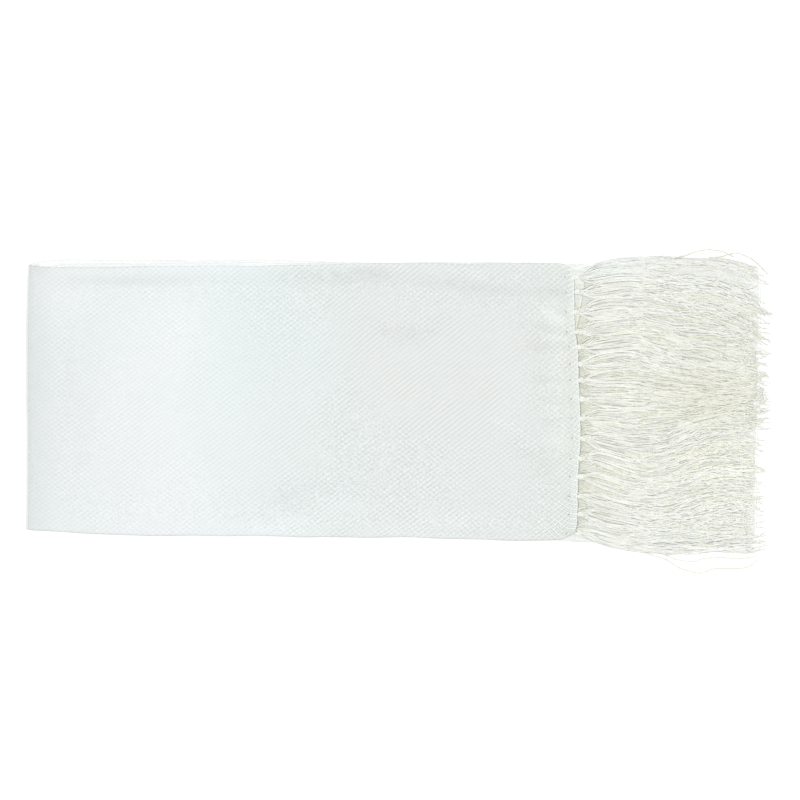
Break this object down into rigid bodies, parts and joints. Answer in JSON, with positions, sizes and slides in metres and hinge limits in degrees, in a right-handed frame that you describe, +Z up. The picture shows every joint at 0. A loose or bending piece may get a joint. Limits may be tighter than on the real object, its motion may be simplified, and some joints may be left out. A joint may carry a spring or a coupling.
{
  "type": "preaching scarf",
  "caption": "Long silk-like scarf in a small diamond weave, folded in four and laid flat, with the knotted yarn fringe of both ends lying over its lower layers.",
  "frame": {"origin": "on the surface that the folded scarf rests on, under the middle of its bounding box", "axes": "+X along the scarf from the nested folds towards the fringe, +Y across it, +Z up through the layers"},
  "size_m": [0.6346, 0.2766, 0.0097],
  "materials": {
    "cloth": "cool white silk-like cloth with a small raised diamond weave and a soft sheen",
    "fringe_yarn": "fine twisted yarn, warm white, soft sheen"
  },
  "bodies": {
    "root": {"top_stretch": "cloth", "second_end_stretch": "cloth", "under_stretch": "cloth", "top_tassel_01": "fringe_yarn", "top_tassel_02": "fringe_yarn", "top_tassel_03": "fringe_yarn", "top_tassel_04": "fringe_yarn", "top_tassel_05": "fringe_yarn", "top_tassel_06": "fringe_yarn", "top_tassel_07": "fringe_yarn", "top_tassel_08": "fringe_yarn", "top_tassel_09": "fringe_yarn", "top_tassel_10": "fringe_yarn", "top_tassel_11": "fringe_yarn", "top_tassel_12": "fringe_yarn", "top_tassel_13": "fringe_yarn", "top_tassel_14": "fringe_yarn", "top_tassel_15": "fringe_yarn", "second_tassel_01": "fringe_yarn", "second_tassel_02": "fringe_yarn", "second_tassel_03": "fringe_yarn", "second_tassel_04": "fringe_yarn", "second_tassel_05": "fringe_yarn", "second_tassel_06": "fringe_yarn", "second_tassel_07": "fringe_yarn", "second_tassel_08": "fringe_yarn", "second_tassel_09": "fringe_yarn", "second_tassel_10": "fringe_yarn", "second_tassel_11": "fringe_yarn", "second_tassel_12": "fringe_yarn", "second_tassel_13": "fringe_yarn", "second_tassel_14": "fringe_yarn", "second_tassel_15": "fringe_yarn"}
  },
  "joints": []
}
